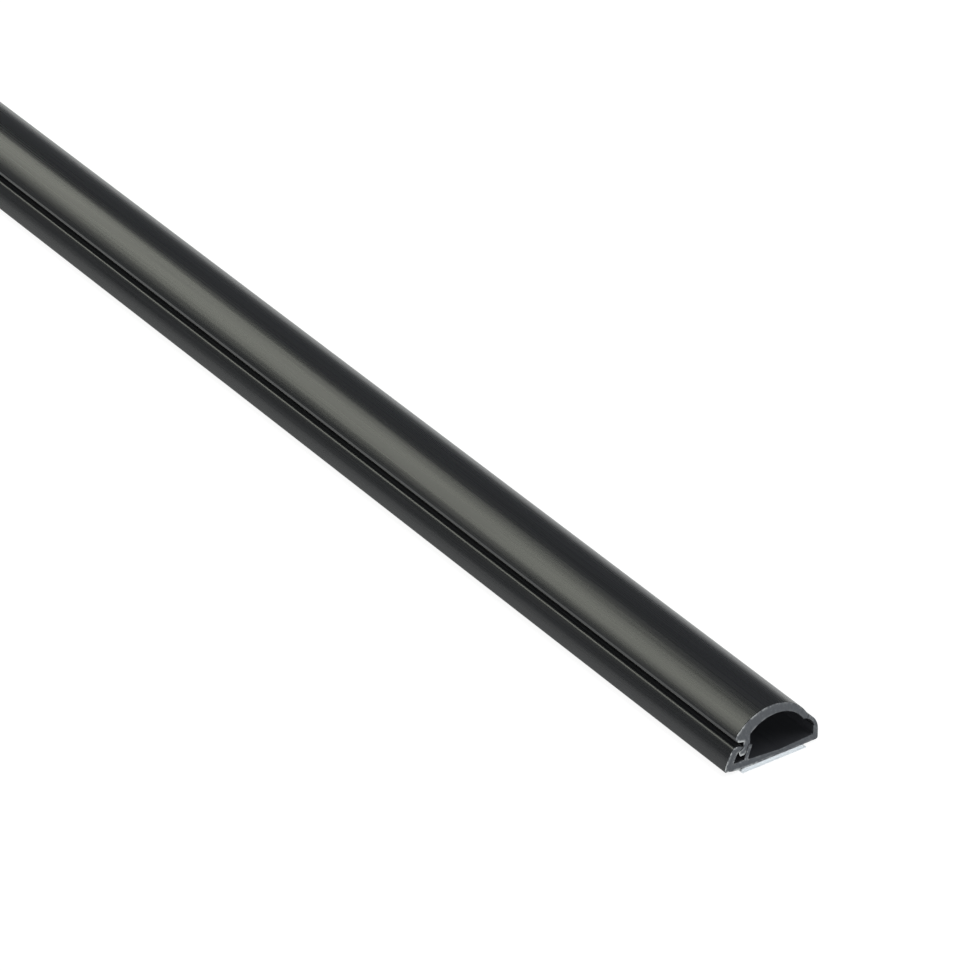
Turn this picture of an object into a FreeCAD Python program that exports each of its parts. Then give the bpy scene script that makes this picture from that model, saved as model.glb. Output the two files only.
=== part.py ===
import FreeCAD, Part

import math
import os
from types import SimpleNamespace

import Sketcher

# One cut length of half-round self-adhesive cord cover raceway, all sizes in millimetres.
# X runs along the stock, Y across it from the catch side to the hinge side, Z up from the wall side.
# The origin is under the middle of the stock, on the face of the release liner.
# The extruded section is drawn from its own underside: the channel with its catch wall, the flexible
# hinge web on the other side, and the arched lid whose leg snaps in between catch wall and upstand.

SIZES = [
    ("stock_length", 400.0, "cut length of the extrusion"),
    ("width", 20.0, "overall width across the channel"),
    ("height", 10.85, "height of the extrusion above its underside"),
    ("floor_middle", 1.05, "floor thickness in the middle, where it is thinnest"),
    ("floor_beside_upstand", 1.6, "floor thickness where it meets the upstand"),
    ("floor_beside_wall", 1.35, "floor thickness where it meets the hinge wall"),
    ("hinge_wall", 1.05, "thickness of the plain wall on the hinge side"),
    ("hinge_wall_spring", 2.0, "height at which the plain wall starts to curve inwards"),
    ("heel_round", 0.45, "rounding of the lower edge on the hinge side"),
    ("toe_bevel_width", 3.3, "width of the shallow bevel under the catch side"),
    ("toe_bevel_rise", 0.7, "height of that bevel at the channel's side"),
    ("toe_round", 0.4, "rounding of the bevel's outer edge"),
    ("web_radius", 4.2, "outer radius of the curved wall top and of the hinge web"),
    ("web_thickness", 0.68, "thickness of the hinge web"),
    ("web_start", 18.0, "degrees round that arc at which the wall thins to the web"),
    ("web_end", 60.0, "degrees round that arc at which the web meets the lid"),
    ("lid_crown", 2.1, "lid thickness between the tops of its two arcs"),
    ("lid_hinge_step", 0.1, "how far the lid's outer arc lies below the web's outer face"),
    ("lid_edge_ledge", 0.8, "how far the lid's inner edge stands off the web's inner face"),
    ("lid_edge_rise", 0.25, "how far that edge lies above the end of the web's inner face"),
    ("lid_leg_root", 6.6, "height at which the lid's inner arc meets the leg"),
    ("lid_side_inset", 2.28, "distance from the channel's side to the lid's upright side"),
    ("lid_side_height", 0.6, "height of the lid's upright side"),
    ("lid_side_round", 0.25, "rounding between the upright side and the outer arc"),
    ("lid_lip_height", 6.42, "height of the lid's visible lower edge above the slot"),
    ("lid_lip_round", 0.15, "rounding of that visible lower edge"),
    ("lid_nose_height", 5.7, "height of the underside of the lid's rounded nose"),
    ("lid_nose_reach", 0.95, "how far the nose reaches out from the leg"),
    ("lid_nose_round", 0.8, "rounding under the nose"),
    ("lid_nose_step", 0.15, "drop of the nose's underside as it runs in to the leg"),
    ("leg_inset", 4.05, "distance from the channel's side to the leg's outer face"),
    ("leg_thickness", 1.4, "thickness of the leg where it hangs from the lid"),
    ("leg_root_round", 0.25, "rounding between the leg and the lid"),
    ("leg_tip_height", 2.8, "height of the leg's lower end above the underside"),
    ("leg_tip_round", 0.25, "rounding of the leg's lower end"),
    ("barb_reach", 1.0, "how far the barb reaches out from the leg's outer face"),
    ("barb_top_height", 4.5, "height at which the barb's flank leaves the leg"),
    ("barb_drop", 0.8, "fall of the flank from the leg out to the barb's tip"),
    ("barb_round", 0.28, "rounding of the barb's tip and of its lower side"),
    ("catch_clearance", 0.06, "gap between lid and channel where the closed catch touches"),
    ("catch_radius", 8.7, "radius of the catch wall's outer face"),
    ("catch_arc_drop", 0.5, "how far that arc's centre lies below the underside"),
    ("catch_wall", 1.85, "thickness of the catch wall above the floor"),
    ("catch_height", 5.05, "height of the catch wall"),
    ("catch_shoulder", 0.5, "rounding of the catch wall's outer top edge"),
    ("catch_crest", 1.0, "rounding where the catch wall's top falls to its lip"),
    ("lip_gap", 0.18, "gap between the catch lip and the leg's outer face"),
    ("lip_depth", 0.22, "thickness of the catch lip at its tip"),
    ("lip_round", 0.12, "rounding of the catch lip's two edges"),
    ("well_floor", 1.8, "height of the floor between catch wall and upstand"),
    ("well_round", 0.2, "rounding at the bottom of that well"),
    ("upstand_inset", 4.2, "distance from the channel's side to the upstand's outer root"),
    ("upstand_height", 4.62, "height of the upstand's outer edge"),
    ("upstand_thickness", 0.9, "thickness of the upstand, measured level"),
    ("upstand_lean", 0.34, "sideways lean of the upstand for each millimetre it rises"),
    ("upstand_top_fall", 0.28, "fall across the upstand's top towards the channel"),
    ("channel_round", 0.3, "rounding where the floor meets the upstand and the wall"),
    ("tape_width", 13.0, "width of the adhesive tape"),
    ("tape_thickness", 0.3, "thickness of the adhesive tape"),
    ("tape_shift", 0.35, "how far the tape lies off the middle, towards the hinge"),
    ("liner_width", 13.6, "width of the release liner"),
    ("liner_thickness", 0.1, "thickness of the release liner"),
    ("liner_overhang", 0.6, "how far the release liner stands out of each cut end"),
]


class Length:
    """A size that holds both its value and the formula that binds it to the sheet."""

    def __init__(self, value, formula):
        self.value = float(value)
        self.formula = formula

    def __add__(self, other):
        other = as_length(other)
        return Length(self.value + other.value, f"({self.formula} + {other.formula})")

    def __sub__(self, other):
        other = as_length(other)
        return Length(self.value - other.value, f"({self.formula} - {other.formula})")

    def __mul__(self, other):
        other = as_length(other)
        return Length(self.value * other.value, f"({self.formula} * {other.formula})")

    def __truediv__(self, other):
        other = as_length(other)
        return Length(self.value / other.value, f"({self.formula} / {other.formula})")

    def __neg__(self):
        return Length(-self.value, f"(0 - {self.formula})")


def as_length(number):
    return number if isinstance(number, Length) else Length(number, str(number))


def root(length):
    return Length(math.sqrt(length.value), f"sqrt({length.formula})")


def cosine(degrees):
    return Length(math.cos(math.radians(degrees.value)), f"cos({degrees.formula})")


def sine(degrees):
    return Length(math.sin(math.radians(degrees.value)), f"sin({degrees.formula})")


def arch(left, right, top):
    """The centre and radius of the circle through two points that rises to a given height."""
    left_drop = top - left[1]
    right_drop = top - right[1]
    across = right[0] - left[0]
    both = left_drop * right_drop
    tilt = right_drop - left_drop
    span = root(both * (across * across + tilt * tilt))
    moment = left_drop * right[0] * right[0] - right_drop * left[0] * left[0] + both * tilt
    centre_y = moment / (left_drop * right[0] - right_drop * left[0] + span)
    reach = centre_y - left[0]
    radius = (reach * reach + left_drop * left_drop) / (left_drop * 2)
    return (centre_y, top - radius), radius


def beside(centre, radius, height):
    """The Y of the point of a circle at a height, on the catch side."""
    rise = height - centre[1]
    return centre[0] - root(radius * radius - rise * rise)


def make_sheet(doc):
    """Writes the driving dimensions into the document's sheet and returns them as lengths."""
    sheet = doc.addObject("Spreadsheet::Sheet", "Sizes")
    named = SimpleNamespace()
    for row, (alias, value, note) in enumerate(SIZES, start=1):
        sheet.set(f"A{row}", note)
        sheet.set(f"B{row}", str(value))
        sheet.setAlias(f"B{row}", alias)
    doc.recompute()
    for alias, _value, _note in SIZES:
        setattr(named, alias, Length(getattr(sheet, alias), f"Sizes.{alias}"))
    return named


def corner(y, z, rounding=None, smooth=False):
    """A corner, sharp or rounded; at a smooth one a straight edge runs on tangent to an arc."""
    return SimpleNamespace(y=as_length(y), z=as_length(z), rounding=rounding, smooth=smooth)


def arc(centre, radius, turn):
    """The edge to the next corner, round a centre: turn is 1 anticlockwise and -1 clockwise."""
    return SimpleNamespace(cy=centre[0], cz=centre[1], radius=radius, turn=turn)


def vector(y, z):
    return FreeCAD.Vector(y, z, 0)


def heading(edge, here, there, at):
    """The direction of travel of an edge from here to there, where it passes the corner named at."""
    if edge is None:
        way = vector(there.y.value - here.y.value, there.z.value - here.z.value)
    else:
        spoke = vector(at.y.value - edge.cy.value, at.z.value - edge.cz.value)
        way = vector(-spoke.y, spoke.x) * edge.turn
    return way.normalize()


class Outline:
    """Draws a closed outline in a sketch, every corner, radius and centre bound to the sheet."""

    def __init__(self, sketch, items):
        self.sketch = sketch
        self.corners = []
        self.edges = []
        for item in items:
            if hasattr(item, "turn"):
                self.edges[-1] = item
            else:
                self.corners.append(item)
                self.edges.append(None)
        self.count = len(self.corners)

    def bind(self, kind, places, length):
        number = self.sketch.addConstraint(Sketcher.Constraint(kind, *places, length.value))
        self.sketch.setExpression(f"Constraints[{number}]", length.formula)

    def bind_point(self, geometry, end, y, z):
        self.bind("DistanceX", (-1, 1, geometry, end), y)
        self.bind("DistanceY", (-1, 1, geometry, end), z)

    def ways(self, number):
        """The directions in which the outline arrives at a corner and leaves it."""
        before = self.corners[number - 1]
        here = self.corners[number]
        after = self.corners[(number + 1) % self.count]
        arriving = heading(self.edges[number - 1], before, here, here)
        leaving = heading(self.edges[number], here, after, here)
        return arriving, leaving

    def cut_back(self, number):
        """How far a corner's rounding reaches back along its two edges."""
        if self.corners[number].rounding is None:
            return 0.0
        arriving, leaving = self.ways(number)
        return self.corners[number].rounding.value * math.tan(arriving.getAngle(leaving) / 2)

    def draw_edge(self, number):
        """Adds one edge and returns its number and which of its ends is the first and the last."""
        here = self.corners[number]
        there = self.corners[(number + 1) % self.count]
        edge = self.edges[number]
        start_cut = self.cut_back(number)
        end_cut = self.cut_back((number + 1) % self.count)
        if edge is None:
            way = heading(None, here, there, here)
            first = vector(here.y.value, here.z.value) + way * start_cut
            last = vector(there.y.value, there.z.value) - way * end_cut
            geometry = self.sketch.addGeometry(Part.LineSegment(first, last), False)
            return geometry, 1, 2
        centre = vector(edge.cy.value, edge.cz.value)
        radius = edge.radius.value
        angles = [math.atan2(p.z.value - centre.y, p.y.value - centre.x) for p in (here, there)]
        angles[0] += edge.turn * start_cut / radius
        angles[1] -= edge.turn * end_cut / radius
        circle = Part.Circle(centre, FreeCAD.Vector(0, 0, 1), radius)
        if edge.turn > 0:
            piece = Part.ArcOfCircle(circle, angles[0], angles[1])
            ends = (1, 2)
        else:
            piece = Part.ArcOfCircle(circle, angles[1], angles[0])
            ends = (2, 1)
        geometry = self.sketch.addGeometry(piece, False)
        self.bind_point(geometry, 3, edge.cy, edge.cz)
        self.bind("Radius", (geometry,), edge.radius)
        return geometry, ends[0], ends[1]

    def place_straight_edges(self, drawn):
        """Holds each straight edge on the two corner points that it joins."""
        for number, (geometry, _first, _last) in enumerate(drawn):
            if self.edges[number] is not None:
                continue
            for index in (number, (number + 1) % self.count):
                place = self.corners[index]
                if place.smooth:
                    continue
                point = self.sketch.addGeometry(Part.Point(vector(place.y.value, place.z.value)), True)
                self.bind_point(point, 1, place.y, place.z)
                self.sketch.addConstraint(Sketcher.Constraint("PointOnObject", point, 1, geometry))

    def round_corner(self, number, before, after):
        """Adds the arc that rounds a corner, tangent to the edges on both sides."""
        place = self.corners[number]
        arriving, leaving = self.ways(number)
        turn = 1 if arriving.x * leaving.y - arriving.y * leaving.x > 0 else -1
        radius = place.rounding.value
        start = vector(place.y.value, place.z.value) - arriving * self.cut_back(number)
        inward = vector(-arriving.y, arriving.x) * turn
        centre = start + inward * radius
        first_angle = math.atan2(-inward.y, -inward.x)
        last_angle = first_angle + turn * arriving.getAngle(leaving)
        circle = Part.Circle(centre, FreeCAD.Vector(0, 0, 1), radius)
        low, high = sorted((first_angle, last_angle))
        geometry = self.sketch.addGeometry(Part.ArcOfCircle(circle, low, high), False)
        first, last = (1, 2) if turn > 0 else (2, 1)
        tangent = Sketcher.Constraint("Tangent", before[0], before[2], geometry, first)
        self.sketch.addConstraint(tangent)
        tangent = Sketcher.Constraint("Tangent", geometry, last, after[0], after[1])
        self.sketch.addConstraint(tangent)
        self.bind("Radius", (geometry,), place.rounding)

    def draw(self):
        drawn = [self.draw_edge(number) for number in range(self.count)]
        for number in range(self.count):
            before = drawn[number - 1]
            after = drawn[number]
            if self.corners[number].rounding is None:
                kind = "Tangent" if self.corners[number].smooth else "Coincident"
                join = Sketcher.Constraint(kind, before[0], before[2], after[0], after[1])
                self.sketch.addConstraint(join)
            else:
                self.round_corner(number, before, after)
        self.place_straight_edges(drawn)


def extrusion(doc, label, outline, size):
    """A body whose section is drawn across the stock and padded both ways along it."""
    body = doc.addObject("PartDesign::Body", label)
    body.Label = label
    across = next(f for f in body.Origin.OriginFeatures if f.Role == "YZ_Plane")
    sketch = body.newObject("Sketcher::SketchObject", label + "_section")
    sketch.AttachmentSupport = [(across, "")]
    sketch.MapMode = "FlatFace"
    Outline(sketch, outline).draw()
    pad = body.newObject("PartDesign::Pad", label + "_pad")
    pad.Profile = sketch
    pad.Midplane = True
    pad.setExpression("Length", size.stock_length.formula)
    body.setExpression("Placement.Base.z", (size.liner_thickness + size.tape_thickness).formula)
    return body


def section_points(size):
    """Places that more than one piece of the section takes its shape from."""
    half = size.width / 2
    leg_outer = size.leg_inset - half
    web_centre = (half - size.web_radius, size.hinge_wall_spring)
    web_inner = size.web_radius - size.web_thickness
    return SimpleNamespace(
        half=half,
        web_centre=web_centre,
        web_inner=web_inner,
        leg_outer=leg_outer,
        leg_inner=leg_outer + size.leg_thickness,
        upstand_root=size.upstand_inset - half,
        flank_slope=size.barb_drop / size.barb_reach,
    )


def web_point(at, radius, degrees):
    """A point at a radius from the web's centre, so many degrees up from level."""
    return at.web_centre[0] + radius * cosine(degrees), at.web_centre[1] + radius * sine(degrees)


def channel_outline(size, at):
    """The fixed channel: floor, catch wall with its lip, upstand and plain wall."""
    arc_centre = (size.catch_radius - at.half, -size.catch_arc_drop)
    crest_y = beside(arc_centre, size.catch_radius, size.catch_height)
    toe_y = beside(arc_centre, size.catch_radius, size.toe_bevel_rise)
    lip_y = at.leg_outer - size.lip_gap
    flank_fall = at.flank_slope * size.lip_gap
    lip_under = size.barb_top_height - flank_fall + size.catch_clearance
    well_y = size.catch_wall - at.half + size.lip_round
    well_top_y = at.leg_outer - size.barb_reach - size.barb_round
    well_top_z = lip_under - at.flank_slope * (lip_y - well_top_y)
    upstand_rise = size.upstand_height - size.well_floor
    upstand_top = at.upstand_root + size.upstand_lean * upstand_rise
    inner_top_z = size.upstand_height - size.upstand_top_fall
    inner_top = upstand_top + size.upstand_thickness - size.upstand_lean * size.upstand_top_fall
    inner_rise = inner_top_z - size.floor_beside_upstand
    inner_root = inner_top - size.upstand_lean * inner_rise
    wall_inside = at.half - size.hinge_wall
    web_foot = web_point(at, at.web_inner, size.web_start)
    return [
        corner(at.half, 0, size.heel_round),
        corner(size.toe_bevel_width - at.half, 0),
        corner(toe_y, size.toe_bevel_rise, size.toe_round),
        arc(arc_centre, size.catch_radius, -1),
        corner(crest_y, size.catch_height, size.catch_shoulder),
        corner((crest_y + lip_y) / 2, size.catch_height, size.catch_crest),
        corner(lip_y, lip_under + size.lip_depth, size.lip_round),
        corner(lip_y, lip_under, size.lip_round),
        corner(well_top_y, well_top_z),
        corner(well_y, size.well_floor, size.well_round),
        corner(at.upstand_root, size.well_floor, size.well_round),
        corner(upstand_top, size.upstand_height),
        corner(inner_top, inner_top_z),
        corner(inner_root, size.floor_beside_upstand, size.channel_round),
        corner((inner_root + wall_inside) / 2, size.floor_middle),
        corner(wall_inside, size.floor_beside_wall, size.channel_round),
        corner(wall_inside, web_foot[1]),
        corner(*web_foot),
        corner(*web_point(at, size.web_radius, size.web_start)),
        arc(at.web_centre, size.web_radius, -1),
        corner(at.half, size.hinge_wall_spring, smooth=True),
    ]


def web_outline(size, at):
    """The flexible hinge web: a thin arc from the plain wall's top round to the lid's edge."""
    return [
        corner(*web_point(at, size.web_radius, size.web_start)),
        arc(at.web_centre, size.web_radius, 1),
        corner(*web_point(at, size.web_radius, size.web_end)),
        corner(*web_point(at, at.web_inner, size.web_end)),
        arc(at.web_centre, at.web_inner, -1),
        corner(*web_point(at, at.web_inner, size.web_start)),
    ]


def lid_outline(size, at):
    """The lid: the arched cover, its rounded nose over the slot, and the barbed leg."""
    side_y = size.lid_side_inset - at.half
    shoulder = (side_y, size.lid_lip_height + size.lid_side_height)
    outer_edge = web_point(at, size.web_radius - size.lid_hinge_step, size.web_end)
    web_edge = web_point(at, at.web_inner, size.web_end)
    inner_edge = (web_edge[0] - size.lid_edge_ledge, web_edge[1] + size.lid_edge_rise)
    leg_root = (at.leg_inner, size.lid_leg_root)
    outer_centre, outer_radius = arch(shoulder, outer_edge, size.height)
    bore_centre, bore_radius = arch(leg_root, inner_edge, size.height - size.lid_crown)
    nose_y = at.leg_outer - size.lid_nose_reach
    seat = size.upstand_height + size.catch_clearance
    face_slack = size.catch_clearance
    seat_y = at.upstand_root + size.upstand_lean * (seat - size.well_floor) - face_slack
    tip_rise = size.leg_tip_height - size.well_floor
    tip_inner = at.upstand_root + size.upstand_lean * tip_rise - face_slack
    barb_y = at.leg_outer - size.barb_reach
    barb_z = size.barb_top_height - size.barb_drop
    barb_foot_y = barb_y + size.barb_round
    return [
        corner(side_y, size.lid_lip_height, size.lid_lip_round),
        corner(*shoulder, size.lid_side_round),
        arc(outer_centre, outer_radius, -1),
        corner(*outer_edge),
        corner(*web_edge),
        corner(*inner_edge),
        arc(bore_centre, bore_radius, 1),
        corner(*leg_root),
        corner(at.leg_inner, seat),
        corner(seat_y, seat),
        corner(tip_inner, size.leg_tip_height, size.leg_tip_round),
        corner(barb_foot_y, size.leg_tip_height, size.barb_round),
        corner(barb_y, barb_z, size.barb_round),
        corner(at.leg_outer, size.barb_top_height),
        corner(at.leg_outer, size.lid_nose_height - size.lid_nose_step, size.leg_root_round),
        corner(nose_y, size.lid_nose_height, size.lid_nose_round),
    ]


def strip(doc, label, size, length, width, thickness, lift):
    """A flat strip under the channel, centred along the stock and shifted with the tape."""
    box = doc.addObject("Part::Box", label)
    box.Label = label
    box.setExpression("Length", length.formula)
    box.setExpression("Width", width.formula)
    box.setExpression("Height", thickness.formula)
    box.setExpression("Placement.Base.x", (-(length / 2)).formula)
    box.setExpression("Placement.Base.y", (size.tape_shift - width / 2).formula)
    box.setExpression("Placement.Base.z", lift.formula)
    return box


def build(doc):
    size = make_sheet(doc)
    at = section_points(size)
    liner_length = size.stock_length + size.liner_overhang * 2
    no_lift = as_length(0)
    return [
        extrusion(doc, "base_channel", channel_outline(size, at), size),
        extrusion(doc, "hinge_web", web_outline(size, at), size),
        extrusion(doc, "snap_lid", lid_outline(size, at), size),
        strip(
            doc, "adhesive_tape", size,
            size.stock_length, size.tape_width, size.tape_thickness, size.liner_thickness,
        ),
        strip(
            doc, "release_liner", size,
            liner_length, size.liner_width, size.liner_thickness, no_lift,
        ),
    ]


def check(doc, pieces):
    """Stops the build if any object failed or any piece is not one sound solid."""
    for thing in doc.Objects:
        if "Invalid" in thing.State or "Error" in thing.State:
            raise RuntimeError(f"{thing.Name} failed: {thing.State}")
    for piece in pieces:
        shape = piece.Shape
        if shape.isNull() or not shape.isValid() or len(shape.Solids) != 1:
            raise RuntimeError(f"{piece.Label} is not one valid solid")


def main():
    doc = FreeCAD.newDocument("raceway")
    pieces = build(doc)
    doc.recompute()
    check(doc, pieces)
    os.makedirs("parts", exist_ok=True)
    for piece in pieces:
        piece.Shape.exportStep(f"parts/{piece.Label}.step")
        print(f"{piece.Label}: {piece.Shape.Volume:.1f} mm3, {piece.Shape.BoundBox}")


main()
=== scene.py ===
import math
import random
from types import SimpleNamespace

import bpy
from mathutils import Euler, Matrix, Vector, noise
from mathutils.geometry import delaunay_2d_cdt


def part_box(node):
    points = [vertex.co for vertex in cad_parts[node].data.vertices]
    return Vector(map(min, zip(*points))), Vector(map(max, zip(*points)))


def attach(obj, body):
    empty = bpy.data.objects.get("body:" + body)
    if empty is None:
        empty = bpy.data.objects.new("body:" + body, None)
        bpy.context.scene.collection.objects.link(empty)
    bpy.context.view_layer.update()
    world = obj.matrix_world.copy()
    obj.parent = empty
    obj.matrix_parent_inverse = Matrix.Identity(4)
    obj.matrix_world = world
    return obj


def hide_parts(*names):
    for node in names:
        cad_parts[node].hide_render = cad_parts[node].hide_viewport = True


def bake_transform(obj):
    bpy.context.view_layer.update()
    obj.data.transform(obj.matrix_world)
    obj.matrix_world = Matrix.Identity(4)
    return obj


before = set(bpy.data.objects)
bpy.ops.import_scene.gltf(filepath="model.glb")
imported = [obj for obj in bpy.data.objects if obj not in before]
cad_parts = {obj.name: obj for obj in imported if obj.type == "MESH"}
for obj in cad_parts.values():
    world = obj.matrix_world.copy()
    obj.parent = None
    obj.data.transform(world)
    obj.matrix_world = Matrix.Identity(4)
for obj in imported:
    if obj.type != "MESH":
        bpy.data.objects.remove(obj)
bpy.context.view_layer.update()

# Everything is in metres. X runs along the stock, -Y is the catch side, +Y the hinge side, Z is up.
MM = 0.001

CHANNEL_LOW, CHANNEL_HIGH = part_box("base_channel")
LID_LOW, LID_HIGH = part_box("snap_lid")
TAPE_LOW, TAPE_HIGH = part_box("adhesive_tape")
LINER_LOW, LINER_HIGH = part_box("release_liner")
LENGTH = CHANNEL_HIGH.x - CHANNEL_LOW.x
HALF = CHANNEL_HIGH.y
LIFT = CHANNEL_LOW.z
HEIGHT = LID_HIGH.z - LIFT

# The section's sizes, as in the part's own sheet, in millimetres above the extrusion's underside.
FLOOR_MIDDLE = 1.05 * MM
FLOOR_BESIDE_UPSTAND = 1.6 * MM
FLOOR_BESIDE_WALL = 1.35 * MM
HINGE_WALL = 1.05 * MM
HINGE_WALL_SPRING = 2.0 * MM
HEEL_ROUND = 0.45 * MM
TOE_BEVEL_WIDTH = 3.3 * MM
TOE_BEVEL_RISE = 0.7 * MM
TOE_ROUND = 0.4 * MM
WEB_RADIUS = 4.2 * MM
WEB_THICKNESS = 0.68 * MM
WEB_START = 18.0
WEB_END = 60.0
LID_CROWN = 2.1 * MM
LID_HINGE_STEP = 0.1 * MM
LID_EDGE_LEDGE = 0.8 * MM
LID_EDGE_RISE = 0.25 * MM
LID_LEG_ROOT = 6.6 * MM
LID_SIDE_INSET = 2.28 * MM
LID_SIDE_HEIGHT = 0.6 * MM
LID_SIDE_ROUND = 0.25 * MM
LID_LIP_HEIGHT = 6.42 * MM
LID_LIP_ROUND = 0.15 * MM
LID_NOSE_HEIGHT = 5.7 * MM
LID_NOSE_REACH = 0.95 * MM
LID_NOSE_ROUND = 0.8 * MM
LID_NOSE_STEP = 0.15 * MM
LEG_INSET = 4.05 * MM
LEG_THICKNESS = 1.4 * MM
LEG_ROOT_ROUND = 0.25 * MM
LEG_TIP_HEIGHT = 2.8 * MM
LEG_TIP_ROUND = 0.25 * MM
BARB_REACH = 1.0 * MM
BARB_TOP_HEIGHT = 4.5 * MM
BARB_DROP = 0.8 * MM
BARB_ROUND = 0.28 * MM
CATCH_CLEARANCE = 0.06 * MM
CATCH_RADIUS = 8.7 * MM
CATCH_ARC_DROP = 0.5 * MM
CATCH_WALL = 1.85 * MM
CATCH_HEIGHT = 5.05 * MM
CATCH_SHOULDER = 0.5 * MM
CATCH_CREST = 1.0 * MM
LIP_GAP = 0.18 * MM
LIP_DEPTH = 0.22 * MM
LIP_ROUND = 0.12 * MM
WELL_FLOOR = 1.8 * MM
WELL_ROUND = 0.2 * MM
UPSTAND_INSET = 4.2 * MM
UPSTAND_HEIGHT = 4.62 * MM
UPSTAND_THICKNESS = 0.9 * MM
UPSTAND_LEAN = 0.34
UPSTAND_TOP_FALL = 0.28 * MM
CHANNEL_ROUND = 0.3 * MM

# How finely the section and the stock's length are drawn.
CORNER_BREAK = 0.07 * MM
ROUND_STEP_DEG = 12.0
CURVE_STEP = 0.16 * MM
FLAT_STEP = 0.45 * MM
STATION_STEP = 4.0 * MM
END_STATIONS = [depth * MM for depth in (0.0, 0.05, 0.12, 0.35, 1.0)]
SHARP_ANGLE_DEG = 32

# The skin as the die leaves it, a little inside the nominal section.
SKIN_INSET = 0.002 * MM
DIE_LINE_DEPTH = 0.006 * MM
DIE_LINE_PITCH = 0.55 * MM
DIE_LINE_LENGTH = 90 * MM
WAVE_DEPTH = 0.02 * MM
WAVE_PITCH = 6 * MM
WAVE_LENGTH = 70.0 * MM

# The ends as the saw leaves them: tooth lines, small pits, a burred rim and whitened, frayed plastic.
SAW_GRID = 0.24 * MM
SAW_GRID_JITTER = 0.3
SAW_GRID_MARGIN = 0.4
SAW_DEPTH = 0.02 * MM
TOOTH_PITCH = 0.34 * MM
TOOTH_LENGTH = 4 * MM
PIT_SIZE = 0.5 * MM
BURR_REACH = 0.035 * MM
BURR_PITCH = 0.8 * MM
BURR_LEVEL = 0.75
BURR_JITTER = 0.15
FRAY_WIDTH = 0.45 * MM
FRAY_START = 2 * MM
FRAY_SPAN = 8 * MM
FRAY_LEAST = 0.2
FRAY_MOST = 1.0
FRAY_LOST_INSIDE = 0.65

SEEDS = {"channel": 3, "lid": 11, "hinge_strip": 17, "foam_tape": 23, "liner": 29}

# The camera has a long lens and looks down the stock from its near end. The lamps face the lit middle.
CAMERA_PLACE = Vector((0.8910, -0.5439, 0.6067))
CAMERA_AZIMUTH = 54.953
CAMERA_ELEVATION = 32.149
CAMERA_LENS = 233.18
CAMERA_SENSOR = 36.0
LIT_MIDDLE = Vector((0.08, 0.0, 0.006))
FLOOR_REACH = 6.0


def corner(y, z, rounding=CORNER_BREAK):
    return SimpleNamespace(place=Vector((y, z)), rounding=rounding, edge=None)


def arc(centre, radius, turn):
    """The edge to the next corner, round a centre: turn is 1 anticlockwise and -1 clockwise."""
    return SimpleNamespace(centre=Vector(centre), radius=radius, turn=turn)


def with_edges(items):
    """The corners of an outline, each holding the arc, if any, that leads to the next."""
    corners = []
    for item in items:
        if hasattr(item, "turn"):
            corners[-1].edge = item
        else:
            corners.append(item)
    return corners


def edge_points(here, there):
    """Points along one edge of an outline, both ends included."""
    if here.edge is None:
        span = (there.place - here.place).length
        steps = max(2, math.ceil(span / FLAT_STEP))
        return [here.place.lerp(there.place, step / steps) for step in range(steps + 1)]
    spokes = [here.place - here.edge.centre, there.place - here.edge.centre]
    first, last = (math.atan2(spoke.y, spoke.x) for spoke in spokes)
    sweep = (last - first) % math.tau if here.edge.turn > 0 else -((first - last) % math.tau)
    steps = max(2, math.ceil(abs(sweep) * here.edge.radius / CURVE_STEP))
    angles = [first + sweep * step / steps for step in range(steps + 1)]
    ways = [Vector((math.cos(angle), math.sin(angle))) for angle in angles]
    return [here.edge.centre + way * here.edge.radius for way in ways]


def trimmed(points, distance):
    """A line of points with so much of its start cut off."""
    left = distance
    for index in range(len(points) - 1):
        step = (points[index + 1] - points[index]).length
        if step > left:
            return [points[index].lerp(points[index + 1], left / step), *points[index + 1:]]
        left -= step
    return points[-1:]


def rounding_points(start, tip, end):
    """The circular arc from start to end that stays inside the corner at tip."""
    turn = (tip - start).angle(end - tip)
    weight = math.cos(turn / 2)
    steps = max(2, math.ceil(math.degrees(turn) / ROUND_STEP_DEG))
    points = []
    for step in range(1, steps):
        share = step / steps
        near, middle, far = (1 - share) ** 2, 2 * share * (1 - share) * weight, share**2
        points.append((start * near + tip * middle + end * far) / (near + middle + far))
    return points


def section_line(items):
    """The closed line of a section: its corners rounded, its curves finely divided."""
    corners = with_edges(items)
    count = len(corners)
    edges = [edge_points(corners[i], corners[(i + 1) % count]) for i in range(count)]
    for i in range(count):
        arriving, leaving = edges[i - 1], edges[i]
        turn = (arriving[-1] - arriving[-2]).angle(leaving[1] - leaving[0])
        reach = corners[i].rounding * math.tan(turn / 2)
        edges[i] = trimmed(leaving, reach)
        edges[i - 1] = trimmed(arriving[::-1], reach)[::-1]
    line = []
    for i in range(count):
        if corners[i].rounding:
            line.extend(rounding_points(edges[i - 1][-1], corners[i].place, edges[i][0]))
        line.extend(edges[i] if corners[i].rounding else edges[i][1:])
    kept = [p for i, p in enumerate(line) if (p - line[i - 1]).length > 1e-6 * MM]
    area = sum(kept[i - 1].cross(kept[i]) for i in range(len(kept)))
    return kept if area > 0 else kept[::-1]


def web_point(radius, degrees):
    """A point at a radius from the centre of the curved wall top, so many degrees up from level."""
    angle = math.radians(degrees)
    return WEB_CENTRE + Vector((math.cos(angle), math.sin(angle))) * radius


CHANNEL_MIDDLE = Vector((1.0, 4.5)) * MM
WEB_CENTRE = Vector((HALF - WEB_RADIUS, HINGE_WALL_SPRING))
WEB_INNER = WEB_RADIUS - WEB_THICKNESS
LEG_OUTER = LEG_INSET - HALF
UPSTAND_ROOT = UPSTAND_INSET - HALF
FLANK_SLOPE = BARB_DROP / BARB_REACH


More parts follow.
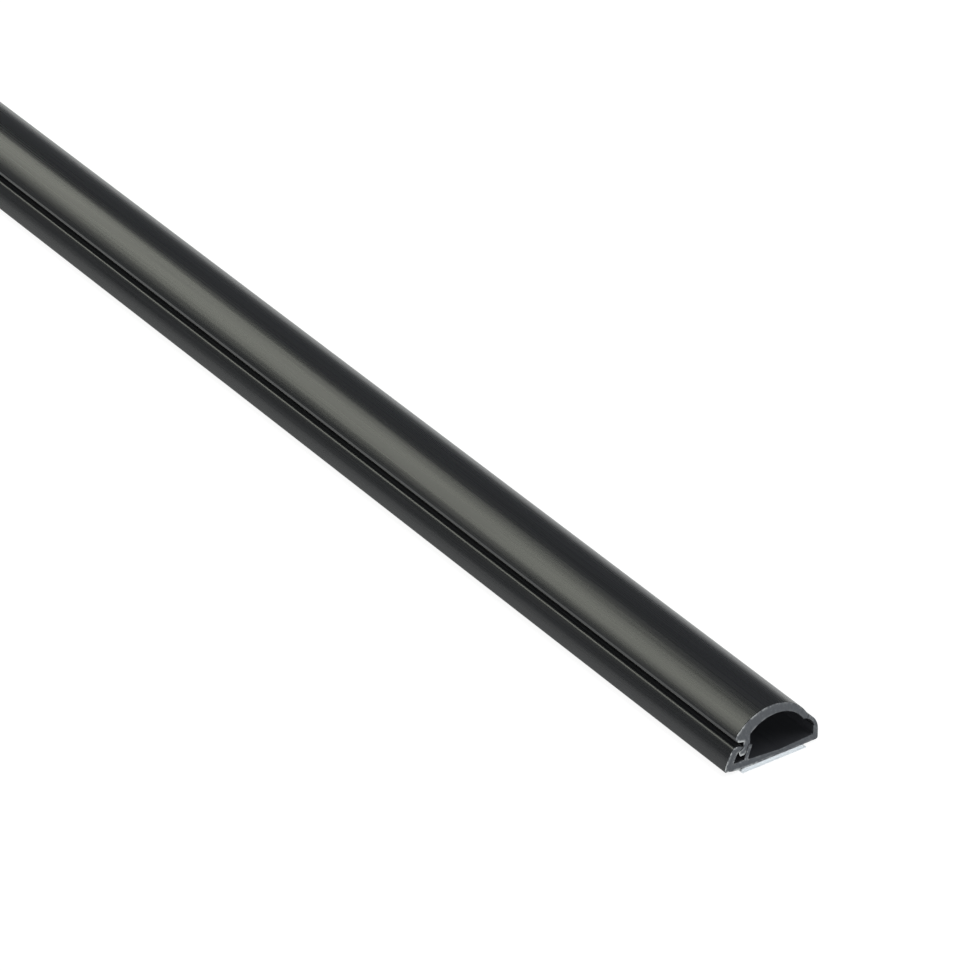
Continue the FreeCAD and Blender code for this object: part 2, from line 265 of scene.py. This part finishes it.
def channel_section():
    """The channel: floor, catch wall with its lip, leaning upstand and plain wall."""
    arc_centre = Vector((CATCH_RADIUS - HALF, -CATCH_ARC_DROP))

    def side(height):
        return arc_centre.x - math.sqrt(CATCH_RADIUS**2 - (height + CATCH_ARC_DROP) ** 2)

    lip_y = LEG_OUTER - LIP_GAP
    lip_under = BARB_TOP_HEIGHT - FLANK_SLOPE * LIP_GAP + CATCH_CLEARANCE
    well_top_y = LEG_OUTER - BARB_REACH - BARB_ROUND
    well_y = CATCH_WALL - HALF + LIP_ROUND
    top_y = UPSTAND_ROOT + UPSTAND_LEAN * (UPSTAND_HEIGHT - WELL_FLOOR)
    inner_top_z = UPSTAND_HEIGHT - UPSTAND_TOP_FALL
    inner_top_y = top_y + UPSTAND_THICKNESS - UPSTAND_LEAN * UPSTAND_TOP_FALL
    inner_root_y = inner_top_y - UPSTAND_LEAN * (inner_top_z - FLOOR_BESIDE_UPSTAND)
    wall_y = HALF - HINGE_WALL
    web_foot = web_point(WEB_INNER, WEB_START)
    crest_y = side(CATCH_HEIGHT)
    return section_line([
        corner(HALF, 0, HEEL_ROUND),
        corner(TOE_BEVEL_WIDTH - HALF, 0),
        corner(side(TOE_BEVEL_RISE), TOE_BEVEL_RISE, TOE_ROUND),
        arc(arc_centre, CATCH_RADIUS, -1),
        corner(crest_y, CATCH_HEIGHT, CATCH_SHOULDER),
        corner((crest_y + lip_y) / 2, CATCH_HEIGHT, CATCH_CREST),
        corner(lip_y, lip_under + LIP_DEPTH, LIP_ROUND),
        corner(lip_y, lip_under, LIP_ROUND),
        corner(well_top_y, lip_under - FLANK_SLOPE * (lip_y - well_top_y)),
        corner(well_y, WELL_FLOOR, WELL_ROUND),
        corner(UPSTAND_ROOT, WELL_FLOOR, WELL_ROUND),
        corner(top_y, UPSTAND_HEIGHT),
        corner(inner_top_y, inner_top_z),
        corner(inner_root_y, FLOOR_BESIDE_UPSTAND, CHANNEL_ROUND),
        corner((inner_root_y + wall_y) / 2, FLOOR_MIDDLE),
        corner(wall_y, FLOOR_BESIDE_WALL, CHANNEL_ROUND),
        corner(wall_y, web_foot.y),
        corner(*web_foot, 0),
        corner(*web_point(WEB_RADIUS, WEB_START), 0),
        arc(WEB_CENTRE, WEB_RADIUS, -1),
        corner(HALF, HINGE_WALL_SPRING, 0),
    ])


def web_section():
    """The thin hinge web between the plain wall's top and the lid's edge."""
    return section_line([
        corner(*web_point(WEB_RADIUS, WEB_START), 0),
        arc(WEB_CENTRE, WEB_RADIUS, 1),
        corner(*web_point(WEB_RADIUS, WEB_END)),
        corner(*web_point(WEB_INNER, WEB_END), 0),
        arc(WEB_CENTRE, WEB_INNER, -1),
        corner(*web_point(WEB_INNER, WEB_START), 0),
    ])


def arch(left, right, top):
    """The centre and radius of the circle through two points that rises to a given height."""
    left_drop, right_drop = top - left.y, top - right.y
    both, tilt = left_drop * right_drop, right_drop - left_drop
    span = math.sqrt(both * ((right.x - left.x) ** 2 + tilt**2))
    moment = left_drop * right.x**2 - right_drop * left.x**2 + both * tilt
    centre_y = moment / (left_drop * right.x - right_drop * left.x + span)
    radius = ((centre_y - left.x) ** 2 + left_drop**2) / (left_drop * 2)
    return Vector((centre_y, top - radius)), radius


def lid_section():
    """The lid: the arched cover, its rounded nose over the slot, and the barbed leg."""
    side_y = LID_SIDE_INSET - HALF
    shoulder = Vector((side_y, LID_LIP_HEIGHT + LID_SIDE_HEIGHT))
    outer_edge = web_point(WEB_RADIUS - LID_HINGE_STEP, WEB_END)
    web_edge = web_point(WEB_INNER, WEB_END)
    inner_edge = web_edge + Vector((-LID_EDGE_LEDGE, LID_EDGE_RISE))
    leg_inner = LEG_OUTER + LEG_THICKNESS
    leg_root = Vector((leg_inner, LID_LEG_ROOT))
    outer_centre, outer_radius = arch(shoulder, outer_edge, HEIGHT)
    bore_centre, bore_radius = arch(leg_root, inner_edge, HEIGHT - LID_CROWN)
    seat = UPSTAND_HEIGHT + CATCH_CLEARANCE
    seat_y = UPSTAND_ROOT + UPSTAND_LEAN * (seat - WELL_FLOOR) - CATCH_CLEARANCE
    tip_y = UPSTAND_ROOT + UPSTAND_LEAN * (LEG_TIP_HEIGHT - WELL_FLOOR) - CATCH_CLEARANCE
    barb_y = LEG_OUTER - BARB_REACH
    return section_line([
        corner(side_y, LID_LIP_HEIGHT, LID_LIP_ROUND),
        corner(*shoulder, LID_SIDE_ROUND),
        arc(outer_centre, outer_radius, -1),
        corner(*outer_edge),
        corner(*web_edge, 0),
        corner(*inner_edge),
        arc(bore_centre, bore_radius, 1),
        corner(*leg_root),
        corner(leg_inner, seat),
        corner(seat_y, seat),
        corner(tip_y, LEG_TIP_HEIGHT, LEG_TIP_ROUND),
        corner(barb_y + BARB_ROUND, LEG_TIP_HEIGHT, BARB_ROUND),
        corner(barb_y, BARB_TOP_HEIGHT - BARB_DROP, BARB_ROUND),
        corner(LEG_OUTER, BARB_TOP_HEIGHT),
        corner(LEG_OUTER, LID_NOSE_HEIGHT - LID_NOSE_STEP, LEG_ROOT_ROUND),
        corner(LEG_OUTER - LID_NOSE_REACH, LID_NOSE_HEIGHT, LID_NOSE_ROUND),
    ])


def outward(line, index):
    """The direction out of the section at one of its points."""
    along = line[(index + 1) % len(line)] - line[index - 1]
    return Vector((along.y, -along.x)).normalized()


def faces_inside(spot, normal):
    """Whether a part of the skin is turned to the middle of the cable channel."""
    return normal.dot(CHANNEL_MIDDLE - spot) > 0


def stations(length):
    """Places along the stock: close together where the saw has broken the edges."""
    half = length / 2
    inner = half - END_STATIONS[-1]
    count = math.ceil(2 * inner / STATION_STEP)
    middle = [-inner + 2 * inner * step / count for step in range(1, count)]
    near = [half - depth for depth in END_STATIONS]
    return [-x for x in near] + middle + near[::-1]


def skin_shift(along, across, seed):
    """How far the die left the skin proud at a place: fine lengthwise lines and a slow wave."""
    line = noise.noise(Vector((across / DIE_LINE_PITCH, along / DIE_LINE_LENGTH, seed)))
    wave = noise.noise(Vector((along / WAVE_LENGTH, across / WAVE_PITCH, seed + 5)))
    return DIE_LINE_DEPTH * line + WAVE_DEPTH * wave - (DIE_LINE_DEPTH + WAVE_DEPTH) / 2


def saw_shift(y, z, seed):
    """How deep the saw has cut at a place of the end face: slanting tooth lines and small pits."""
    tooth = noise.noise(Vector(((y * 0.9 + z * 0.35) / TOOTH_PITCH, z / TOOTH_LENGTH, seed)))
    pit = noise.noise(Vector((y / PIT_SIZE, z / PIT_SIZE, seed + 9)))
    return -SAW_DEPTH * (0.5 + 0.5 * tooth) - SAW_DEPTH * max(0.0, pit)


def fray_share(spot, inner):
    """How much the saw has whitened the rim at a place: most outside, over the catch side."""
    catch_side = min(max((FRAY_START - spot.x) / FRAY_SPAN, 0.0), 1.0)
    return (FRAY_LEAST + (FRAY_MOST - FRAY_LEAST) * catch_side) * (1 - FRAY_LOST_INSIDE * inner)


def lies_inside(spot, line):
    """Whether a spot lies within a closed line."""
    inside = False
    for i in range(len(line)):
        a, b = line[i - 1], line[i]
        if (a.y > spot.y) != (b.y > spot.y):
            if spot.x < a.x + (spot.y - a.y) * (b.x - a.x) / (b.y - a.y):
                inside = not inside
    return inside


def distance_to(spot, line):
    """The shortest distance from a spot to a closed line."""
    shortest = math.inf
    for i in range(len(line)):
        start, way = line[i - 1], line[i] - line[i - 1]
        share = min(max((spot - start).dot(way) / way.length_squared, 0.0), 1.0)
        shortest = min(shortest, (spot - start - way * share).length)
    return shortest


def end_face(line, seed):
    """A fine triangle mesh over the section: its points, its faces, and where each point is from."""
    low = Vector((min(p.x for p in line), min(p.y for p in line)))
    high = Vector((max(p.x for p in line), max(p.y for p in line)))
    draw = random.Random(seed)
    spots = list(line)
    for row in range(int((high.y - low.y) / SAW_GRID) + 1):
        for column in range(int((high.x - low.x) / SAW_GRID) + 1):
            shifts = [draw.uniform(-SAW_GRID_JITTER, SAW_GRID_JITTER) for _ in "yz"]
            spot = low + Vector((column + shifts[0], row + shifts[1])) * SAW_GRID
            if lies_inside(spot, line) and distance_to(spot, line) > SAW_GRID * SAW_GRID_MARGIN:
                spots.append(spot)
    count = len(line)
    edges = [(i, (i + 1) % count) for i in range(count)]
    scaled = [p / MM for p in spots]
    result = delaunay_2d_cdt(scaled, edges, [list(range(count))], 1, 1e-6)
    return [Vector(p) * MM for p in result[0]], result[2], result[3]


def stock_mesh(name, line, length=LENGTH):
    """The mesh of a cut length with this section, and the attributes its materials read."""
    seed = SEEDS[name]
    count = len(line)
    normals = [outward(line, i) for i in range(count)]
    reach = [0.0]
    for i in range(1, count):
        reach.append(reach[-1] + (line[i] - line[i - 1]).length)
    places = stations(length)
    hidden = [1.0 if faces_inside(line[i], normals[i]) else 0.0 for i in range(count)]
    points, across, whitened, inner = [], [], [], []
    draw = random.Random(seed)
    for number, x in enumerate(places):
        at_end = number in (0, len(places) - 1)
        for i in range(count):
            shift = skin_shift(x, reach[i], seed)
            if at_end:
                burr = noise.noise(Vector((reach[i] / BURR_PITCH, number, seed)))
                jitter = draw.uniform(-BURR_JITTER, BURR_JITTER)
                shift -= BURR_REACH * (BURR_LEVEL - burr + jitter)
            spot = line[i] + normals[i] * (min(shift, 0.0) - SKIN_INSET)
            points.append(Vector((x, spot.x, spot.y + LIFT)))
            across.append(reach[i])
            whitened.append(fray_share(line[i], hidden[i]) if at_end else 0.0)
            inner.append(hidden[i])
    faces, sawn = [], []
    for number in range(len(places) - 1):
        for i in range(count):
            j = (i + 1) % count
            a, b = number * count, (number + 1) * count
            faces.append((a + i, b + i, b + j, a + j))
            sawn.append(0)
    for number, side in ((0, -1), (len(places) - 1, 1)):
        first = number * count
        ring = [Vector((p.y, p.z - LIFT)) for p in points[first:first + count]]
        spots, triangles, origins = end_face(ring, seed + side)
        used = {i for triangle in triangles for i in triangle}
        index = {}
        for new in sorted(used):
            on_ring = [o for o in origins[new] if o < count]
            if on_ring:
                index[new] = first + on_ring[0]
                continue
            index[new] = len(points)
            depth = saw_shift(spots[new].x, spots[new].y, seed + side)
            points.append(Vector((places[number] + side * depth, spots[new].x, spots[new].y + LIFT)))
            across.append(0.0)
            nearest = min(range(count), key=lambda i: (spots[new] - ring[i]).length)
            near_rim = 1 - distance_to(spots[new], ring) / FRAY_WIDTH
            whitened.append(max(near_rim, 0.0) * fray_share(spots[new], hidden[nearest]))
            inner.append(0.0)
        for triangle in triangles:
            corners = [index[i] for i in triangle]
            if len(set(corners)) == 3:
                faces.append(corners if side > 0 else corners[::-1])
                sawn.append(1)
    mesh = bpy.data.meshes.new(name)
    mesh.from_pydata(points, [], faces)
    mesh.polygons.foreach_set("material_index", sawn)
    for label, values in (("across", across), ("whitened", whitened), ("inner", inner)):
        mesh.attributes.new(label, "FLOAT", "POINT").data.foreach_set("value", values)
    mesh.shade_smooth()
    mesh.set_sharp_from_angle(angle=math.radians(SHARP_ANGLE_DEG))
    mesh.validate()
    return mesh


def add_piece(name, mesh, materials):
    piece = bpy.data.objects.new(name, mesh)
    bpy.context.scene.collection.objects.link(piece)
    for material in materials:
        mesh.materials.append(material)
    return piece


class Nodes:
    """A short way to write a material's node tree."""

    def __init__(self, tree):
        self.tree = tree
        tree.nodes.clear()

    def add(self, kind, settings=(), **inputs):
        node = self.tree.nodes.new(kind)
        for key, value in dict(settings).items():
            setattr(node, key, value)
        for key, value in inputs.items():
            self.feed(node, key.replace("_", " "), value)
        return node

    def feed(self, node, socket, value):
        if isinstance(value, bpy.types.NodeSocket):
            self.tree.links.new(value, node.inputs[socket])
        else:
            node.inputs[socket].default_value = value

    def ramp(self, factor, stops):
        node = self.tree.nodes.new("ShaderNodeValToRGB")
        self.tree.links.new(factor, node.inputs["Fac"])
        elements = node.color_ramp.elements
        while len(elements) < len(stops):
            elements.new(0.5)
        for element, (place, level) in zip(elements, stops):
            element.position = place
            element.color = (*level, 1) if hasattr(level, "__len__") else (level, level, level, 1)
        return node.outputs["Color"]


def new_material(name):
    material = bpy.data.materials.new(name)
    material.use_nodes = True
    return material, Nodes(material.node_tree)


def streak_vector(nodes, along, across):
    """Texture coordinates drawn out along the stock, following the section round its corners."""
    place = nodes.add("ShaderNodeTexCoord").outputs["Object"]
    split = nodes.add("ShaderNodeSeparateXYZ", Vector=place)
    reach = nodes.add("ShaderNodeAttribute", {"attribute_name": "across"}).outputs["Fac"]
    x = nodes.add("ShaderNodeMath", {"operation": "MULTIPLY"})
    nodes.feed(x, 0, split.outputs["X"])
    nodes.feed(x, 1, 1 / along)
    y = nodes.add("ShaderNodeMath", {"operation": "MULTIPLY"})
    nodes.feed(y, 0, reach)
    nodes.feed(y, 1, 1 / across)
    joined = nodes.add("ShaderNodeCombineXYZ", X=x.outputs[0], Y=y.outputs[0])
    return joined.outputs[0]


def skin_material(name, colour, roughness, streaks):
    """Extruded black PVC: lengthwise die lines and a faint orange peel, duller inside, with painted fill
    light making the inside paler.
    """
    material, nodes = new_material(name)
    place = nodes.add("ShaderNodeTexCoord").outputs["Object"]
    fine = nodes.add(
        "ShaderNodeTexNoise", Vector=streak_vector(nodes, 45 * MM, 0.28 * MM), Scale=1.0, Detail=3.0
    ).outputs["Fac"]
    broad = nodes.add(
        "ShaderNodeTexNoise", Vector=streak_vector(nodes, 120 * MM, 1.6 * MM), Scale=1.0, Detail=2.0
    ).outputs["Fac"]
    peel = nodes.add("ShaderNodeTexNoise", Vector=place, Scale=2600.0, Detail=2.0).outputs["Fac"]
    mixed = nodes.add("ShaderNodeMix", {"data_type": "FLOAT"})
    nodes.feed(mixed, 0, 0.35)
    nodes.feed(mixed, 2, fine)
    nodes.feed(mixed, 3, broad)
    lines = mixed.outputs[0]
    inner = nodes.add("ShaderNodeAttribute", {"attribute_name": "inner"}).outputs["Fac"]
    outer_tone = nodes.ramp(lines, [(0.3, [c * 0.8 for c in colour]), (0.7, [c * 1.25 for c in colour])])
    # Painted fill light: the inside-facing skin gets a paler copy of the same black tone, standing in for
    # light reaching into the hollow.
    inside_painted_fill_tone = nodes.ramp(lines, [(0.3, [c * 1.7 for c in colour]), (0.7, [c * 2.5 for c in colour])])
    toned = nodes.add("ShaderNodeMix", {"data_type": "RGBA"})
    nodes.feed(toned, 0, inner)
    nodes.feed(toned, 6, outer_tone)
    nodes.feed(toned, 7, inside_painted_fill_tone)
    tone = toned.outputs[2]
    drawn = nodes.ramp(lines, [(0.25, roughness - 0.05), (0.75, roughness + 0.07)])
    duller = nodes.add("ShaderNodeMath", {"operation": "MULTIPLY_ADD"})
    nodes.feed(duller, 0, inner)
    nodes.feed(duller, 1, 0.2)
    nodes.feed(duller, 2, drawn)
    rough = duller.outputs[0]
    low = nodes.add("ShaderNodeBump", Strength=streaks, Distance=0.009 * MM, Height=lines)
    high = nodes.add("ShaderNodeBump", Strength=0.12, Distance=0.02 * MM, Height=peel)
    nodes.feed(high, "Normal", low.outputs[0])
    shader = nodes.add("ShaderNodeBsdfPrincipled", Roughness=rough, Normal=high.outputs[0], IOR=1.5)
    nodes.feed(shader, "Base Color", tone)
    nodes.add("ShaderNodeOutputMaterial", Surface=shader.outputs[0])
    return material


def sawn_material():
    """The sawn end: dull grey from the saw's fine scratches, whitened where the edge has frayed."""
    material, nodes = new_material("sawn_pvc")
    place = nodes.add("ShaderNodeTexCoord").outputs["Object"]
    slant = nodes.add("ShaderNodeMapping", {"vector_type": "TEXTURE"}, Vector=place)
    nodes.feed(slant, "Rotation", Euler((math.radians(24), 0, 0)))
    nodes.feed(slant, "Scale", Vector((1, 0.28, 2.2)) * MM)
    teeth = nodes.add("ShaderNodeTexNoise", Vector=slant.outputs[0], Scale=1.0, Detail=3.0).outputs["Fac"]
    grain = nodes.add("ShaderNodeTexNoise", Vector=place, Scale=1900.0, Detail=3.0).outputs["Fac"]
    blend = nodes.add("ShaderNodeMix", {"data_type": "FLOAT"})
    nodes.feed(blend, 0, 0.5)
    nodes.feed(blend, 2, teeth)
    nodes.feed(blend, 3, grain)
    marks = blend.outputs[0]
    tone = nodes.ramp(marks, [
        (0.3, (0.047, 0.051, 0.057)),
        (0.6, (0.078, 0.083, 0.091)),
        (0.78, (0.17, 0.176, 0.184)),
    ])
    frayed = nodes.add("ShaderNodeAttribute", {"attribute_name": "whitened"}).outputs["Fac"]
    patches = nodes.add("ShaderNodeTexNoise", Vector=place, Scale=900.0, Detail=4.0, Roughness=0.7)
    speck = nodes.add("ShaderNodeMath", {"operation": "MULTIPLY"})
    nodes.feed(speck, 0, frayed)
    nodes.feed(speck, 1, nodes.ramp(patches.outputs["Fac"], [(0.47, 0.0), (0.56, 1.0)]))
    light = nodes.add("ShaderNodeMix", {"data_type": "RGBA"}, B=(0.6, 0.61, 0.6, 1))
    nodes.feed(light, 0, speck.outputs[0])
    nodes.feed(light, 6, tone)
    bump = nodes.add("ShaderNodeBump", Strength=0.5, Distance=0.03 * MM, Height=marks)
    shader = nodes.add("ShaderNodeBsdfPrincipled", Roughness=0.62, Normal=bump.outputs[0], IOR=1.5)
    nodes.feed(shader, "Base Color", light.outputs[2])
    nodes.add("ShaderNodeOutputMaterial", Surface=shader.outputs[0])
    return material


def tape_material():
    """White closed-cell foam tape."""
    material, nodes = new_material("white_foam_tape")
    place = nodes.add("ShaderNodeTexCoord").outputs["Object"]
    cells = nodes.add("ShaderNodeTexVoronoi", Vector=place, Scale=6500.0).outputs["Distance"]
    tone = nodes.ramp(cells, [(0.1, (0.72, 0.74, 0.76)), (0.6, (0.86, 0.88, 0.9))])
    bump = nodes.add("ShaderNodeBump", Strength=0.4, Distance=0.02 * MM, Height=cells)
    shader = nodes.add("ShaderNodeBsdfPrincipled", Roughness=0.8, Normal=bump.outputs[0])
    nodes.feed(shader, "Base Color", tone)
    nodes.add("ShaderNodeOutputMaterial", Surface=shader.outputs[0])
    return material


def liner_material():
    """The nearly white siliconised liner, faintly mottled by its fibres."""
    material, nodes = new_material("release_liner")
    place = nodes.add("ShaderNodeTexCoord").outputs["Object"]
    fibres = nodes.add("ShaderNodeTexNoise", Vector=place, Scale=1400.0, Detail=4.0).outputs["Fac"]
    tone = nodes.ramp(fibres, [(0.3, (0.85, 0.89, 0.92)), (0.7, (0.92, 0.95, 0.965))])
    bump = nodes.add("ShaderNodeBump", Strength=0.15, Distance=0.02 * MM, Height=fibres)
    shader = nodes.add("ShaderNodeBsdfPrincipled", Roughness=0.38, Normal=bump.outputs[0])
    nodes.feed(shader, "Base Color", tone)
    nodes.add("ShaderNodeOutputMaterial", Surface=shader.outputs[0])
    return material


def band_section(low, high, rounding):
    """A flat strip's section, in the same heights as the extrusion's."""
    return section_line([
        corner(low.y, low.z - LIFT, rounding),
        corner(high.y, low.z - LIFT, rounding),
        corner(high.y, high.z - LIFT, rounding),
        corner(low.y, high.z - LIFT, rounding),
    ])


def build_object():
    skin = skin_material("black_pvc", (0.0135, 0.014, 0.0158), 0.27, 0.3)
    web_skin = skin_material("black_pvc_web", (0.015, 0.0155, 0.0173), 0.4, 0.3)
    sawn = sawn_material()
    channel = add_piece("channel", stock_mesh("channel", channel_section()), [skin, sawn])
    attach(channel, "channel")
    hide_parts("base_channel")
    lid = add_piece("lid", stock_mesh("lid", lid_section()), [skin, sawn])
    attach(lid, "lid")
    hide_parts("snap_lid")
    web = add_piece("hinge_strip", stock_mesh("hinge_strip", web_section()), [web_skin, sawn])
    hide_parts("hinge_web")
    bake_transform(web)
    tape_line = band_section(TAPE_LOW, TAPE_HIGH, 0.04 * MM)
    tape = add_piece("foam_tape", stock_mesh("foam_tape", tape_line), [tape_material()] * 2)
    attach(tape, "channel")
    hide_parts("adhesive_tape")
    liner_length = LINER_HIGH.x - LINER_LOW.x
    liner_line = band_section(LINER_LOW, LINER_HIGH, 0.02 * MM)
    liner = add_piece("liner", stock_mesh("liner", liner_line, liner_length), [liner_material()] * 2)
    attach(liner, "channel")
    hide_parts("release_liner")


def area_light(name, way, size, power, colour):
    """A rectangular lamp that stands this way from the middle of the lit stock and faces it."""
    data = bpy.data.lights.new(name, "AREA")
    data.shape = "RECTANGLE"
    data.size, data.size_y = size
    data.energy = power
    data.color = colour
    lamp = bpy.data.objects.new(name, data)
    bpy.context.scene.collection.objects.link(lamp)
    lamp.location = LIT_MIDDLE + way
    lamp.rotation_euler = (LIT_MIDDLE - lamp.location).to_track_quat("-Z", "Y").to_euler()


def build_lights():
    """A long soft key beyond the catch side, a broad fill overhead, and a fill on the near cut end."""
    key_way = Vector((-0.69, -0.33, 0.64)) * 1.3
    area_light("key", key_way, (1.3, 0.5), 7.0, (0.98, 1.0, 0.87))
    area_light("top", Vector((0.5, 0.35, 1.4)), (1.2, 1.2), 13.0, (0.95, 0.98, 1.0))
    area_light("front", Vector((1.5, -0.6, 0.5)), (1.0, 0.8), 13.0, (0.96, 0.98, 1.0))


def build_world():
    world = bpy.data.worlds.new("studio")
    bpy.context.scene.world = world
    world.use_nodes = True
    nodes = Nodes(world.node_tree)
    seen = nodes.add("ShaderNodeLightPath").outputs["Is Camera Ray"]
    white = nodes.add("ShaderNodeBackground", Color=(1, 1, 1, 1), Strength=1.0)
    dim = nodes.add("ShaderNodeBackground", Color=(0.9, 0.96, 1.0, 1), Strength=0.14)
    mixed = nodes.add("ShaderNodeMixShader", Fac=seen)
    nodes.feed(mixed, 1, dim.outputs[0])
    nodes.feed(mixed, 2, white.outputs[0])
    nodes.add("ShaderNodeOutputWorld", Surface=mixed.outputs[0])


def floor_material():
    """White floor: mostly its own even white where it is seen, the rest lit, so a shadow stays."""
    material, nodes = new_material("white_floor")
    paths = nodes.add("ShaderNodeLightPath")
    reflected = nodes.add("ShaderNodeMath", {"operation": "MULTIPLY"})
    nodes.feed(reflected, 0, paths.outputs["Is Glossy Ray"])
    nodes.feed(reflected, 1, 0.3)
    share = nodes.add("ShaderNodeMath", {"operation": "MULTIPLY_ADD"})
    nodes.feed(share, 0, paths.outputs["Is Camera Ray"])
    nodes.feed(share, 1, 0.8)
    nodes.feed(share, 2, reflected.outputs[0])
    lit = nodes.add("ShaderNodeBsdfDiffuse", Color=(0.92, 0.92, 0.92, 1))
    white = nodes.add("ShaderNodeEmission", Color=(1, 1, 1, 1), Strength=1.12)
    mixed = nodes.add("ShaderNodeMixShader", Fac=share.outputs[0])
    nodes.feed(mixed, 1, lit.outputs[0])
    nodes.feed(mixed, 2, white.outputs[0])
    nodes.add("ShaderNodeOutputMaterial", Surface=mixed.outputs[0])
    return material


def build_floor():
    ways = ((-1, -1), (1, -1), (1, 1), (-1, 1))
    corners = [(x * FLOOR_REACH, y * FLOOR_REACH, 0) for x, y in ways]
    mesh = bpy.data.meshes.new("floor")
    mesh.from_pydata(corners, [], [(0, 1, 2, 3)])
    floor = add_piece("floor", mesh, [floor_material()])


def build_camera():
    data = bpy.data.cameras.new("camera")
    data.sensor_width = CAMERA_SENSOR
    data.lens = CAMERA_LENS
    data.clip_start, data.clip_end = 0.05, 50.0
    camera = bpy.data.objects.new("camera", data)
    bpy.context.scene.collection.objects.link(camera)
    camera.location = CAMERA_PLACE
    turn = (math.radians(90 - CAMERA_ELEVATION), 0, math.radians(CAMERA_AZIMUTH))
    camera.rotation_euler = Euler(turn, "XYZ")
    bpy.context.scene.camera = camera


bpy.context.scene.view_settings.view_transform = "Standard"
build_object()
build_floor()
build_lights()
build_world()
build_camera()
